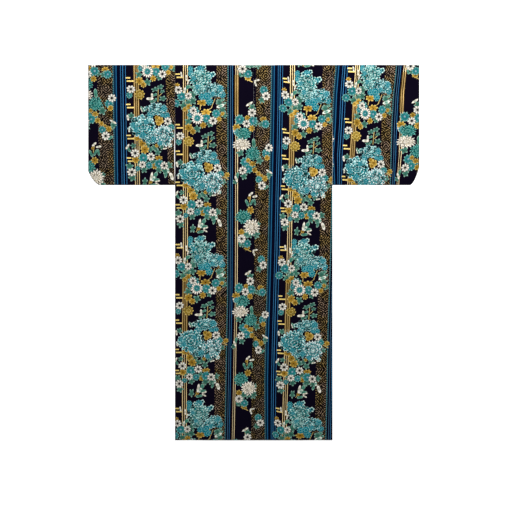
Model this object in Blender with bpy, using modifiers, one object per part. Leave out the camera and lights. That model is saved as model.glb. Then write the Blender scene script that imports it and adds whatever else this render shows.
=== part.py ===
"""A cotton yukata laid flat on its front, with its back up, shoulders at +Y and hem at -Y.

Seven pieces of cloth: two body lengths, two overlap panels, the collar and two sleeves.
Every piece is a wall of cloth, and a fold or a closed seam joins its upper and lower layer.
The wearer's left is at -X. Metres, with the floor at z = 0 and the origin under the middle.
"""

from collections import namedtuple
from math import atan2, cos, pi, sin

import bmesh
import bpy
from mathutils import Vector

# Driving sizes of the garment
LENGTH = 1.530
BODY_HALF_WIDTH = 0.321
CENTRE_TO_WRIST = 0.675
SLEEVE_DROP = 0.490
ARMHOLE = 0.230
UNDERARM_OPENING = 0.150
WRIST_OPENING = 0.230
NECK_HALF_WIDTH = 0.088
OVERLAP_SEAM = 0.080
OVERLAP_WIDTH = 0.150
OVERLAP_TIP_DROP = 0.230
OVERLAP_TIP_WIDTH = 0.002
COLLAR_WIDTH = 0.055
COLLAR_DROP = 0.765

# The cloth wall, the gap at seams and between layers, and the rise from one layer to the next
WALL = 0.0012
GAP = 0.0003
LAYER = WALL + GAP
MIDDLE = WALL / 2

# Soft ramps where a layer climbs over what lies under it, as distances past its edge
CLIMB_START = 0.018
CLIMB_END = 0.046
COLLAR_END_REST = 0.020
COLLAR_END_FALL = 0.080
PLATEAU_HALF_WIDTH = 0.180
PLATEAU_FOOT = 0.225
PLATEAU_TOP = 0.010
PLATEAU_TOP_FOOT = 0.065

# Longest steps between the points of a layer
ROW_STEP = 0.055
WIDE_STEP = 0.040
PLATEAU_STEP = 0.015
PLATEAU_TOP_STEP = 0.022
SLEEVE_STEP = 0.060
CORNER_STEPS = 5

# Heights on the garment, down from the shoulder fold
SHOULDER = LENGTH / 2
HEM = -LENGTH / 2
FOLD = SHOULDER - MIDDLE
ARMHOLE_END = SHOULDER - ARMHOLE
SIDE_SEAM_TOP = ARMHOLE_END - UNDERARM_OPENING
OVERLAP_TIP = SHOULDER - OVERLAP_TIP_DROP
COLLAR_END = SHOULDER - COLLAR_DROP
SLEEVE_BOTTOM = SHOULDER - SLEEVE_DROP
WRIST_END = SHOULDER - WRIST_OPENING

# One row for each side: the step between columns where the front climbs, the sleeve's rounded
# corner as its width and height, and how far its inner edge stands off below the armhole
Side = namedtuple("Side", "name sign front_step corner_width corner_height stand_off")
SIDES = (
    Side("left", -1, 0.031, 0.042, 0.062, 0.0024),
    Side("right", 1, 0.0125, 0.040, 0.074, 0.0005),
)

COLOURS = {
    "body": (0.012, 0.010, 0.032),
    "okumi": (0.014, 0.012, 0.036),
    "collar": (0.010, 0.009, 0.028),
    "sleeve": (0.013, 0.013, 0.038),
}
COTTON_ROUGHNESS = 0.85


def clear_scene():
    for obj in list(bpy.data.objects):
        bpy.data.objects.remove(obj, do_unlink=True)


def between(start, end, share):
    return start + (end - start) * share


def soft_step(value, start, end):
    """0 up to start, 1 from end on, and a soft curve between them."""
    share = min(max((value - start) / (end - start), 0.0), 1.0)
    return share * share * (3.0 - 2.0 * share)


def stations(stops, step):
    """The stops, with equal steps between them that are no longer than step."""
    places = [stops[0]]
    for start, end in zip(stops, stops[1:]):
        count = max(1, -int(-abs(end - start) // step))
        places += [between(start, end, k / count) for k in range(1, count + 1)]
    return places


def collar_seam(y):
    """How far the collar's seam is from the centre, towards the panel's own side."""
    if y >= OVERLAP_TIP:
        return between(OVERLAP_SEAM, NECK_HALF_WIDTH, (y - OVERLAP_TIP) / OVERLAP_TIP_DROP)
    if y >= COLLAR_END:
        return OVERLAP_SEAM - OVERLAP_WIDTH * (OVERLAP_TIP - y) / (OVERLAP_TIP - COLLAR_END)
    return OVERLAP_SEAM - OVERLAP_WIDTH


COLLAR_SLANT = atan2(OVERLAP_WIDTH, OVERLAP_TIP - COLLAR_END)
COLLAR_ACROSS = COLLAR_WIDTH / cos(COLLAR_SLANT)


def left_reach(y):
    """The x that the left front, with its overlap panel and collar, reaches to."""
    under_collar_end = soft_step(y, COLLAR_END - COLLAR_END_FALL, COLLAR_END - COLLAR_END_REST)
    return COLLAR_ACROSS * under_collar_end - collar_seam(y)


def front_height(side, x, y):
    """The left front lies on the floor, and the right one climbs onto it."""
    if side.sign < 0:
        return 0.0
    return LAYER * (1.0 - soft_step(x - left_reach(y), CLIMB_START, CLIMB_END))


def back_height(x, y):
    """The back lies on one layer at the sides and on two where the fronts cross."""
    across = 1.0 - soft_step(abs(x), PLATEAU_HALF_WIDTH, PLATEAU_FOOT)
    along = 1.0 - soft_step(y, OVERLAP_TIP + PLATEAU_TOP, OVERLAP_TIP + PLATEAU_TOP_FOOT)
    return LAYER * (1.0 + across * along)


def add_layer(bm, columns, rows, place):
    """A grid of cloth with the point at (column, row) where place says, kept by its indices."""
    grid = bmesh.ops.create_grid(bm, x_segments=len(columns) - 1, y_segments=len(rows) - 1, size=0.5)
    points = {}
    for vert in grid["verts"]:
        i = round((vert.co.x + 0.5) * (len(columns) - 1))
        j = round((vert.co.y + 0.5) * (len(rows) - 1))
        points[i, j] = vert
    for (i, j), vert in points.items():
        vert.co = place(columns[i], rows[j])
    return points


def join_layers(bm, upper, lower, indices):
    """A fold or closed seam: a strip between two layers along the points at the indices."""
    edges = []
    for layer in (upper, lower):
        edges += [bm.edges.get((layer[a], layer[b])) for a, b in zip(indices, indices[1:])]
    bmesh.ops.bridge_loops(bm, edges=edges)


def cloth_material(name, kind):
    material = bpy.data.materials.new("printed cotton " + name)
    material.use_nodes = True
    shader = material.node_tree.nodes["Principled BSDF"]
    shader.inputs["Base Color"].default_value = (*COLOURS[kind], 1.0)
    shader.inputs["Roughness"].default_value = COTTON_ROUGHNESS
    return material


def add_piece(name, kind, bm, collection):
    """Turn a surface through the middle of the cloth into a wall, as an object of its own."""
    bmesh.ops.recalc_face_normals(bm, faces=bm.faces)
    mesh = bpy.data.meshes.new(name)
    bm.to_mesh(mesh)
    bm.free()
    mesh.materials.append(cloth_material(name, kind))
    piece = bpy.data.objects.new(name, mesh)
    collection.objects.link(piece)
    wall = piece.modifiers.new("wall", "SOLIDIFY")
    wall.thickness = WALL
    wall.offset = 0.0
    wall.solidify_mode = "NON_MANIFOLD"
    wall.nonmanifold_thickness_mode = "CONSTRAINTS"
    return piece


def make_body(side, collection):
    """Back and front in one length, folded at the shoulder and sewn together at the side."""
    neck = NECK_HALF_WIDTH + GAP / 2
    front_columns = stations([neck, PLATEAU_HALF_WIDTH], side.front_step)
    front_columns += stations([PLATEAU_HALF_WIDTH, PLATEAU_FOOT], PLATEAU_STEP)[1:]
    front_columns += stations([PLATEAU_FOOT, BODY_HALF_WIDTH], WIDE_STEP)[1:]
    back_columns = stations([GAP / 2, neck], WIDE_STEP)[:-1] + front_columns
    plateau_rows = [OVERLAP_TIP + PLATEAU_TOP_FOOT, OVERLAP_TIP + PLATEAU_TOP]
    rows = stations([FOLD, plateau_rows[0]], ROW_STEP)
    rows += stations(plateau_rows, PLATEAU_TOP_STEP)[1:]
    stops = [plateau_rows[1], OVERLAP_TIP, SIDE_SEAM_TOP, COLLAR_END, COLLAR_END - COLLAR_END_FALL, HEM]
    rows += stations(stops, ROW_STEP)[1:]

    def side_edge(y):
        return BODY_HALF_WIDTH if y > SIDE_SEAM_TOP else BODY_HALF_WIDTH - MIDDLE

    def back_point(column, y):
        share = (column - GAP / 2) / (BODY_HALF_WIDTH - GAP / 2)
        x = side.sign * between(GAP / 2, side_edge(y), share)
        return Vector((x, y, MIDDLE + back_height(x, y)))

    def front_point(column, y):
        inner = (collar_seam(y) if y > OVERLAP_TIP else OVERLAP_SEAM) + GAP / 2
        share = (column - neck) / (BODY_HALF_WIDTH - neck)
        x = side.sign * between(inner, side_edge(y), share)
        return Vector((x, y, MIDDLE + front_height(side, x, y)))

    bm = bmesh.new()
    back = add_layer(bm, back_columns, rows, back_point)
    front = add_layer(bm, front_columns, rows, front_point)
    extra = len(back_columns) - len(front_columns)
    back = {(i - extra, j): vert for (i, j), vert in back.items()}
    last = len(front_columns) - 1
    join_layers(bm, back, front, [(i, 0) for i in range(last + 1)])
    sewn = [j for j, y in enumerate(rows) if y <= SIDE_SEAM_TOP]
    join_layers(bm, back, front, [(last, j) for j in sewn])
    return add_piece("body_" + side.name, "body", bm, collection)


def make_okumi(side, collection):
    """The overlap panel, from its tip at the collar to the hem, past the centre in front."""
    slant = (OVERLAP_TIP - COLLAR_END) / OVERLAP_WIDTH
    tip = OVERLAP_TIP - OVERLAP_TIP_WIDTH * slant
    rows = stations([tip, COLLAR_END, COLLAR_END - COLLAR_END_FALL, HEM], ROW_STEP)
    shares = stations([0.0, 1.0], 0.25)

    def point(share, y):
        x = side.sign * between(OVERLAP_SEAM - GAP / 2, collar_seam(y) + GAP / 2, share)
        return Vector((x, y, MIDDLE + front_height(side, x, y)))

    bm = bmesh.new()
    add_layer(bm, shares, rows, point)
    return add_piece("okumi_" + side.name, "okumi", bm, collection)


def mitre(before, corner, after, width):
    """The inner point of a band of the given width where its outer edge turns at a corner."""
    first = (corner - before).normalized()
    second = (after - corner).normalized()
    inward = (first.orthogonal() + second.orthogonal()).normalized()
    return corner + inward * (width / inward.dot(first.orthogonal()))


def make_collar(collection):
    """One band: up the right front edge, across under the back neck and down the left one."""
    edge = GAP / 2
    outer = [
        Vector((collar_seam(COLLAR_END) - edge, COLLAR_END)),
        Vector((OVERLAP_SEAM - edge, OVERLAP_TIP)),
        Vector((NECK_HALF_WIDTH - edge, FOLD)),
    ]
    outer += [Vector((-point.x, point.y)) for point in reversed(outer)]
    inner = [mitre(*triple, COLLAR_WIDTH) for triple in zip(outer, outer[1:], outer[2:])]
    inner.insert(0, outer[0] + (outer[1] - outer[0]).normalized().orthogonal() * COLLAR_WIDTH)
    inner.append(outer[-1] + (outer[-1] - outer[-2]).normalized().orthogonal() * COLLAR_WIDTH)
    last = len(outer) - 1
    right_corner = 2
    rows = [0.0]
    for k, (start, end) in enumerate(zip(outer, outer[1:])):
        rows += stations([k, k + 1], ROW_STEP / (end - start).length)[1:]
    shares = stations([0.0, 1.0], 1 / 3)
    right = SIDES[1]

    def point(share, row):
        k = min(int(row), last - 1)
        start = between(outer[k], inner[k], share)
        end = between(outer[k + 1], inner[k + 1], share)
        x, y = between(start, end, row - k)
        climb = front_height(right, x, y) if row <= right_corner else 0.0
        return Vector((x, y, MIDDLE + climb))

    bm = bmesh.new()
    add_layer(bm, shares, rows, point)
    return add_piece("collar", "collar", bm, collection)


def make_sleeve(side, collection):
    """A flat pouch: folded on top, sewn below and at the wrist, and open at its inner edge."""
    inner = BODY_HALF_WIDTH + GAP
    bottom = SLEEVE_BOTTOM + MIDDLE
    arc_top = bottom + side.corner_height
    arc = [pi / 2 * k / CORNER_STEPS for k in range(1, CORNER_STEPS + 1)]
    rows = stations([FOLD, WRIST_END, arc_top], SLEEVE_STEP)
    rows += [arc_top - side.corner_height * sin(angle) for angle in arc]
    shares = stations([0.0, 1.0], SLEEVE_STEP / (CENTRE_TO_WRIST - inner))

    def outer_edge(y):
        if y > WRIST_END:
            return CENTRE_TO_WRIST
        drop = min(max((arc_top - y) / side.corner_height, 0.0), 1.0)
        return CENTRE_TO_WRIST - MIDDLE - side.corner_width * (1.0 - (1.0 - drop * drop) ** 0.5)

    def inner_edge(y):
        share = min(max((ARMHOLE_END - y) / (ARMHOLE_END - SLEEVE_BOTTOM), 0.0), 1.0)
        return inner + side.stand_off * sin(pi * share)

    def layer_point(height):
        def point(share, y):
            x = side.sign * between(inner_edge(y), outer_edge(y), share)
            return Vector((x, y, MIDDLE + height))
        return point

    bm = bmesh.new()
    upper = add_layer(bm, shares, rows, layer_point(LAYER))
    lower = add_layer(bm, shares, rows, layer_point(0.0))
    last_column, last_row = len(shares) - 1, len(rows) - 1
    join_layers(bm, upper, lower, [(i, 0) for i in range(last_column + 1)])
    sewn = [(i, last_row) for i in range(last_column)]
    sewn += [(last_column, j) for j in range(last_row, -1, -1) if rows[j] <= WRIST_END]
    join_layers(bm, upper, lower, sewn)
    return add_piece("sleeve_" + side.name, "sleeve", bm, collection)


def main():
    clear_scene()
    collection = bpy.data.collections.new("yukata")
    bpy.context.scene.collection.children.link(collection)
    for side in SIDES:
        make_body(side, collection)
        make_okumi(side, collection)
        make_sleeve(side, collection)
    make_collar(collection)


main()
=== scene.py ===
# %% [markdown]
# # A cotton yukata, laid flat with its back up
# A yukata is an unlined summer robe. It is cut from straight lengths of printed cotton: two body
# lengths that run over the shoulders, two sleeve strips, two overlap panels and one long collar band.
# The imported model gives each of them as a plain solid, and this lesson puts thin printed cloth there.

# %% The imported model
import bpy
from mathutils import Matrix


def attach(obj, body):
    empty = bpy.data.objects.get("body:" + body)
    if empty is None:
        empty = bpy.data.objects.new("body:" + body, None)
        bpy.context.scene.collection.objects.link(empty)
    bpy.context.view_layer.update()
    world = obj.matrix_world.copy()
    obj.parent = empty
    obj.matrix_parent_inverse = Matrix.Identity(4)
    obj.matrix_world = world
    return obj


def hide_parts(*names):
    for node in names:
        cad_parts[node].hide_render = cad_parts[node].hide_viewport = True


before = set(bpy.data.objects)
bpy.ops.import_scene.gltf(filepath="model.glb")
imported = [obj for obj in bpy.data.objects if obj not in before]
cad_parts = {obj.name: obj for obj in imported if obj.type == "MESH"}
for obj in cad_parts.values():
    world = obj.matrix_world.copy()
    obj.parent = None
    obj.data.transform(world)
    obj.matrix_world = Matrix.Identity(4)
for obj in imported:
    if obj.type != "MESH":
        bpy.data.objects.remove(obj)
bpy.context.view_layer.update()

print("packed nodes:", ", ".join(sorted(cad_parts)))

# %% [markdown]
# ## Sizes
# Everything is worked out from the sizes that a seamstress would write down. They are the same as in
# the solids, apart from the cut of the sleeve corners, so each sheet of cloth lies in the place of the
# wall that it replaces.

# %% The garment's own sizes, in metres
from collections import namedtuple
from functools import lru_cache, partial
from math import atan2, cos, inf, pi, radians, sin

import bmesh
import bpy
import numpy as np
from mathutils import Vector

LENGTH = 1.530
BODY_HALF_WIDTH = 0.321
CENTRE_TO_WRIST = 0.675
SLEEVE_DROP = 0.490
ARMHOLE = 0.230
UNDERARM_OPENING = 0.150
WRIST_OPENING = 0.230
NECK_HALF_WIDTH = 0.088
OVERLAP_SEAM = 0.080
OVERLAP_WIDTH = 0.150
OVERLAP_TIP_DROP = 0.230
OVERLAP_TIP_WIDTH = 0.002
COLLAR_WIDTH = 0.055
COLLAR_DROP = 0.765

GAP = 0.0003
LAYER = 0.0015
CLOTH = 0.0007
FOLD_BULGE = 0.0004
EDGE_INSET = CLOTH / 2 + FOLD_BULGE

SHOULDER = LENGTH / 2
HEM = -LENGTH / 2
HEM_STITCHES = HEM + 0.012
FOLD = SHOULDER - EDGE_INSET
ARMHOLE_END = SHOULDER - ARMHOLE
SIDE_SEAM_TOP = ARMHOLE_END - UNDERARM_OPENING
OVERLAP_TIP = SHOULDER - OVERLAP_TIP_DROP
COLLAR_END = SHOULDER - COLLAR_DROP
SLEEVE_BOTTOM = SHOULDER - SLEEVE_DROP
WRIST_END = SHOULDER - WRIST_OPENING

# Each side's sleeve has its own cut of the lower outer corner, and stands off the body a little under
# the armhole
Side = namedtuple("Side", "name sign corner_width corner_height stand_off")
SIDES = (
    Side("left", -1, 0.048, 0.057, 0.0024),
    Side("right", 1, 0.038, 0.074, 0.0005),
)
print("from wrist to wrist:", 2 * CENTRE_TO_WRIST, "m; from shoulder to hem:", LENGTH, "m")

# %% [markdown]
# ## Where each layer of cloth lies
# The left front lies on the floor and the right front climbs onto it. The back lies on both. One soft
# step does all the climbing: it is 0 up to its start, 1 from its end on, and level at both ends.

# %% Heights of the layers
CLIMB_START = 0.018
CLIMB_END = 0.046
COLLAR_END_REST = 0.020
COLLAR_END_FALL = 0.080
PLATEAU_HALF_WIDTH = 0.180
PLATEAU_FOOT = 0.225
PLATEAU_TOP = 0.010
PLATEAU_TOP_FOOT = 0.065


def soft_step(value, start, end):
    share = np.clip((value - start) / (end - start), 0.0, 1.0)
    return share * share * (3.0 - 2.0 * share)


def between(start, end, share):
    return start + (end - start) * share


def collar_seam(y):
    """How far the collar's seam is from the centre, towards its own side."""
    heights = (HEM, COLLAR_END, OVERLAP_TIP, SHOULDER)
    reaches = (OVERLAP_SEAM - OVERLAP_WIDTH, OVERLAP_SEAM - OVERLAP_WIDTH, OVERLAP_SEAM, NECK_HALF_WIDTH)
    return np.interp(y, heights, reaches)


COLLAR_ACROSS = COLLAR_WIDTH / cos(atan2(OVERLAP_WIDTH, OVERLAP_TIP - COLLAR_END))


def right_front_height(x, y):
    """The height of the right front, its overlap panel and the right leg of the collar."""
    under_collar = soft_step(y, COLLAR_END - COLLAR_END_FALL, COLLAR_END - COLLAR_END_REST)
    left_reach = COLLAR_ACROSS * under_collar - collar_seam(y)
    return LAYER * (1.0 - soft_step(x - left_reach, CLIMB_START, CLIMB_END))


def left_front_height(x, y):
    return 0.0 * x


def back_height(x, y):
    across = 1.0 - soft_step(np.abs(x), PLATEAU_HALF_WIDTH, PLATEAU_FOOT)
    along = 1.0 - soft_step(y, OVERLAP_TIP + PLATEAU_TOP, OVERLAP_TIP + PLATEAU_TOP_FOOT)
    return LAYER * (1.0 + across * along)


def sleeve_back_height(x, y):
    return LAYER + 0.0 * x


FRONTS = {"left": (left_front_height, "floor"), "right": (right_front_height, "middle")}
print("height of the back over both fronts, in mm:", round(1000 * float(back_height(0.0, 0.0)), 2))

# %% [markdown]
# ## Soft swells and creases
# Washed cotton never lies dead flat. Between its seams it stands a few millimetres proud in broad
# swells, and creases cut soft troughs into them. Cloth simulation could settle it, but a garment laid
# out by hand has its creases where it was folded and carried, so they are placed one by one: each one is
# a line with a bow, a width and a depth that rises and falls along its length.

# %% Creases, in millimetres
# A depth of 1 takes the swell away in the trough's middle. Bow is how far the middle of the line is
# pushed sideways. A trough comes in over ENDS_IN of the line's length and dies out over ENDS_OUT.
Crease = namedtuple("Crease", "x0 y0 x1 y1 width bow depth")
ENDS_IN = (-0.12, 0.18)
ENDS_OUT = (0.72, 1.15)
CREASES = [Crease(*(length / 1000 for length in lengths), depth) for *lengths, depth in (
    (-300, 520, -60, 330, 22, 20, 0.75),
    (-318, 440, -150, 250, 16, -14, 0.6),
    (305, 535, 80, 360, 20, -18, 0.7),
    (318, 455, 190, 230, 18, 12, 0.65),
    (-50, 700, -90, 420, 18, 10, 0.45),
    (110, 690, 70, 500, 16, -8, 0.4),
    (-310, 130, -90, 112, 13, 10, 0.55),
    (20, 118, 315, 140, 12, -8, 0.6),
    (-318, -235, -20, -262, 12, -12, 0.55),
    (50, -255, 300, -240, 14, 8, 0.5),
    (-240, 80, -215, -190, 20, 16, 0.5),
    (-120, -20, -140, -460, 24, -18, 0.6),
    (-60, -310, -85, -740, 18, 14, 0.5),
    (90, 60, 125, -330, 22, 20, 0.55),
    (215, -70, 190, -480, 18, -12, 0.6),
    (60, -420, 90, -750, 16, -10, 0.45),
    (260, -380, 285, -720, 15, 10, 0.5),
    (-270, -300, -290, -690, 17, -10, 0.55),
    (-200, -520, -60, -600, 15, 10, 0.35),
    (-660, 660, -400, 610, 15, 12, 0.55),
    (-340, 500, -560, 400, 18, -14, 0.65),
    (-420, 740, -400, 480, 14, 10, 0.45),
    (-600, 560, -560, 300, 16, 12, 0.55),
    (-350, 330, -500, 290, 12, 6, 0.45),
    (345, 560, 560, 470, 17, 12, 0.6),
    (650, 690, 430, 630, 14, -10, 0.5),
    (480, 730, 460, 420, 16, -14, 0.55),
    (590, 500, 610, 330, 14, 8, 0.45),
    (360, 400, 500, 300, 13, -8, 0.5),
)]
print("creases placed by hand:", len(CREASES))


# %% What a crease takes away
def crease_share(x, y):
    """How much of the swell is left: 1 away from the creases, less in their troughs."""
    left = np.ones_like(x)
    for number, crease in enumerate(CREASES):
        run = Vector((crease.x1 - crease.x0, crease.y1 - crease.y0))
        along = ((x - crease.x0) * run.x + (y - crease.y0) * run.y) / run.length_squared
        aside = ((x - crease.x0) * run.y - (y - crease.y0) * run.x) / run.length
        aside = aside - crease.bow * np.sin(pi * np.clip(along, 0.0, 1.0))
        ends = soft_step(along, *ENDS_IN) * (1.0 - soft_step(along, *ENDS_OUT))
        # A trough is deeper and shallower by turns, each one in its own way
        uneven = 0.75 + 0.25 * np.sin(9.0 * along + 2.3 * number)
        left = left * (1.0 - crease.depth * ends * uneven * np.exp(-((aside / crease.width) ** 2)))
    return left


print("swell left in the first trough:", crease_share(np.array([-0.18]), np.array([0.44])).round(2))

# %% [markdown]
# The swells themselves are a few long waves that never repeat in step. They die out at every fold,
# seam and hem, where stitches or a crease hold the cloth down.

# %% Relief of the top layer
SWELL_HEIGHT = 0.0046
LEAST_SWELL = 0.0006
SWELL_MEAN, SWELL_SWING, SWELL_CREST = 0.55, 0.45, 1.2
LAYER_SHARES = {"top": 1.0, "middle": 0.5, "floor": 0.2}
# Waves per metre across and along, and where each one starts
SWELLS = ((7.1, 1.3, 0.4), (3.2, 4.9, 1.9), (-5.3, 6.7, 4.0), (11.0, -3.4, 2.6), (2.1, -9.7, 5.3))
# How far from a seam, fold or hem the cloth is held down, and what share is left right at a seam
SEAM_REACH, SHOULDER_REACH, HEM_REACH = 0.018, 0.030, 0.035
SLEEVE_REACH, WRIST_REACH = 0.030, 0.028
KEPT_AT_ARMHOLE, KEPT_AT_BACK_SEAM = 0.25, 0.30
PUCKER_STEP, PUCKER_HEIGHT = 0.021, 0.0004
BACK_PUCKER_REACH, ARMHOLE_PUCKER_REACH = 0.012, 0.011


def away_from(distance, reach, kept=0.0):
    """Rises from the kept share at a seam to 1 at the given reach from it."""
    return kept + (1.0 - kept) * soft_step(np.abs(distance), 0.0, reach)


def relief(x, y):
    swell = np.zeros_like(x)
    for across, along, start in SWELLS:
        swell += np.sin(2 * pi * (across * x + along * y) + start)
    swell = SWELL_HEIGHT * (SWELL_MEAN + SWELL_SWING * swell / len(SWELLS) ** 0.5 / SWELL_CREST)
    swell = np.clip(swell, LEAST_SWELL, None) * crease_share(x, y)
    on_body = np.abs(x) <= BODY_HALF_WIDTH + GAP / 2
    sewn = y > ARMHOLE_END
    side = np.abs(np.abs(x) - BODY_HALF_WIDTH)
    at_side = away_from(side, SEAM_REACH)
    swell *= np.where(sewn, away_from(side, SEAM_REACH, KEPT_AT_ARMHOLE), at_side)
    swell *= np.where(on_body, away_from(x, SEAM_REACH, KEPT_AT_BACK_SEAM), 1.0)
    swell *= away_from(y - SHOULDER, SHOULDER_REACH)
    at_bottom = away_from(y - SLEEVE_BOTTOM, SLEEVE_REACH)
    swell *= np.where(on_body, away_from(y - HEM, HEM_REACH), at_bottom)
    swell *= away_from(np.abs(x) - CENTRE_TO_WRIST, WRIST_REACH)
    pucker = 0.5 + 0.5 * np.sin(2 * pi * y / PUCKER_STEP + 1.7 * np.sin(9.0 * y))
    near_seam = np.exp(-((x / BACK_PUCKER_REACH) ** 2)) * on_body
    near_seam = near_seam + np.exp(-((side / ARMHOLE_PUCKER_REACH) ** 2)) * sewn
    return swell + PUCKER_HEIGHT * pucker * near_seam * away_from(y - SHOULDER, SHOULDER_REACH)


print("swell beside the back seam, in mm:", (1000 * relief(np.array([0.1]), np.array([0.0]))).round(2))

# %% [markdown]
# ## The printer's chart
# The print repeats. It is written down as a printer would: on a chart whose square is 4.08 mm, with
# columns across the bolt and rows down from the shoulder. One repeat is 107 squares wide, and its
# neighbour to the right starts 3 squares lower. Stripes run the whole length, and flowers lie on them.

# %% The repeat
SQUARE = 0.00408
REPEAT_WIDTH = 107.0
REPEAT_DROP = 3.0
REPEAT_LENGTH = 170.3
print("one repeat, in mm:", round(1000 * SQUARE * REPEAT_WIDTH), "by", round(1000 * SQUARE * REPEAT_LENGTH))

# %% [markdown]
# Kinds of motif. Every one is drawn by the same rule: rings of petals, each ring half a petal out of
# step with the next, and the inner ones lying on the outer ones. The numbers of petals and rings, the
# depth of the scallops between tips, how pointed the tips are and the size of the heart make it a
# full chrysanthemum, a small flower or a leaf. A scallop of 0 with tips of 1 is a plain bar.

# %% Kinds of motif
Kind = namedtuple("Kind", "petals rings scallop pointed heart tip_width gold "
                          "petal_colour tip_colour heart_colour")
KINDS = {
    "scale kiku": Kind(20, 5, 0.75, 0, 0, 0.32, 0, "#007a80", "#dcfffb", "#c0eae4"),
    "ball kiku": Kind(19, 4, 0.75, 0.1, 0.1, 0.32, 0, "#007a80", "#dcfffb", "#b0ded8"),
    "spider kiku": Kind(18, 4, 0.95, 0.3, 0.06, 0.32, 0, "#007878", "#dcfff6", "#b4dcd0"),
    "pale kiku": Kind(20, 4, 0.95, 0.3, 0.08, 0.4, 0, "#128488", "#f2fffc", "#d0ece4"),
    "teal kiku": Kind(15, 3, 0.9, 0.8, 0, 0.3, 0, "#0c6a64", "#84d0c2", "#84d0c2"),
    "cream kiku": Kind(15, 3, 0.9, 0.9, 0, 0.6, 0, "#ccbea0", "#fff8ea", "#f0e6d0"),
    "white flower": Kind(8, 1, 0.3, 0, 0.26, 0.6, 0, "#a8a496", "#e8e4d8", "#060a16"),
    "teal flower": Kind(9, 1, 0.3, 0, 0.2, 0.24, 0, "#257a7c", "#8cc0b6", "#7fa0ae"),
    "blue flower": Kind(9, 2, 0.75, 0, 0, 0.22, 0, "#007c8a", "#9ce4e4", "#108490"),
    "daisy": Kind(14, 1, 0.34, 0.2, 0.5, 0.6, 0, "#c0b8aa", "#f2eadc", "#0f4656"),
    "gold flower": Kind(7, 1, 0.46, 0.1, 0.14, 0.24, 1, "#a8822c", "#f4d67c", "#4e3004"),
    "gold kiku": Kind(9, 2, 0.6, 0.2, 0, 0.28, 1, "#a08230", "#f2d880", "#4e3004"),
    "sage leaf": Kind(5, 1, 0.62, 0.5, 0, 0.24, 0, "#38705f", "#a0c6b4", "#a0c6b4"),
    "leaf": Kind(2, 1, 0.54, 0.6, 0, 0.22, 0, "#3a7564", "#a6cab6", "#a6cab6"),
    "pale leaf": Kind(2, 1, 0.45, 0.8, 0, 0.5, 0, "#5f9684", "#eef2e4", "#eef2e4"),
    "curl": Kind(5, 1, 0.25, 0, 0.42, 0.4, 0, "#5fb0aa", "#e4f6ee", "#0c3c4a"),
    "white petal": Kind(2, 1, 0.42, 0.8, 0, 0.6, 0, "#a8a894", "#f4eede", "#f4eede"),
    "gold bar": Kind(1, 1, 0, 1, 0, 0.1, 1, "#e8cb78", "#e8cb78", "#e8cb78"),
    "twig": Kind(1, 1, 0, 1, 0, 0.1, 1, "#b8a264", "#b8a264", "#b8a264"),
}
KIND_SLOTS = 24
KIND_NUMBERS = {name: number + 1 for number, name in enumerate(KINDS)}
print("kinds of motif:", len(KINDS))

# %% [markdown]
# Where they lie in one repeat, from the lowest printed to the topmost. A flower covers what is
# listed before it.

# %% Motifs of one repeat, in chart squares
Motif = namedtuple("Motif", "kind col row half_width half_height turn")
MOTIFS = []


def place(kind, *spots):
    """Each spot is a column, a row and a radius, or a half width, a half height and a turn."""
    for col, row, half_width, *rest in spots:
        half_height, turn = (rest + [half_width, 0.0])[:2] if rest else (half_width, 0.0)
        MOTIFS.append(Motif(kind, col, row, half_width, half_height, turn))


# %% Short gold bars beside the narrow lines
for lower_row in (12.5, 63.0, 89.5, 120.5, 143.0):
    place("gold bar", (2.0, lower_row - 3.2, 2.0, 0.65, 0), (4.0, lower_row, 3.1, 0.65, 0))
print("motifs so far:", len(MOTIFS))

# %% Leaves, twigs and gold behind the flowers of the broad column
place("twig", (37.4, 38, 4.8, 0.3, 68), (33.8, 44.2, 3, 0.3, 35), (32.1, 78, 6.6, 0.32, 87),
      (34.4, 76.8, 2, 0.3, 45), (24.5, 42, 3, 0.4, 85), (49, 112.5, 4.5, 0.4, -30),
      (33.5, 152, 4.5, 0.4, -20), (21.2, 165.4, 2, 0.3, 60))
place("sage leaf", (29.2, 71.3, 4.6, 2.7, 18), (34.8, 68.8, 4.2, 2.7, 20), (36.6, 73.4, 3, 2, 20),
      (37, 80.4, 4.4, 3, 5), (25.6, 83.2, 2.6, 2.2, 0), (16.9, 163.6, 5, 3.1, 85))
place("leaf", (28.8, 76.6, 2.6, 2.2, 20), (29.2, 81.8, 2.2, 2, 60), (24.8, 166.8, 3.6, 2.4, 12),
      (27.4, 157.6, 4.4, 3.4, 65), (28.2, 161.6, 3.8, 2.4, 5), (38.5, 155.5, 4.4, 2.4, 75),
      (11, 23, 4.6, 3.2, 40), (44.5, 35.6, 4.8, 2.6, 12), (47, 40, 4.4, 2.4, 40),
      (1.6, 131, 3.4, 2.2, 120), (15.8, 91, 3.6, 1.6, 120))
place("sage leaf", (17, 29.5, 4.8), (16.5, 36.2, 4.6), (7.8, 41, 4.6), (12.5, 37.5, 3.6),
      (43.5, 37.7, 4.2), (46.5, 45, 4.2), (12.5, 56.7, 4.4), (21.2, 64.2, 4.4), (34, 59.5, 3.4),
      (8, 34, 3.6), (18.5, 22.5, 4.6), (48.5, 50.5, 3.4), (43.5, 108, 4.4), (27.5, 129.5, 3.8),
      (30.5, 134, 3.8), (23, 131, 3.6), (42, 147, 4), (2.5, 148, 4), (31, 151.5, 4.2), (37.5, 152.5, 3.8),
      (5, 159.5, 4.2), (16.5, 151.5, 3.8), (12.5, 144.5, 4), (59.5, 117, 3), (20, 127, 3.6), (6, 127.5, 3),
      (4.5, 97.5, 3.4), (26, 143.5, 3.4), (35, 129, 3.2), (47.5, 117, 3.4))
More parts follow.
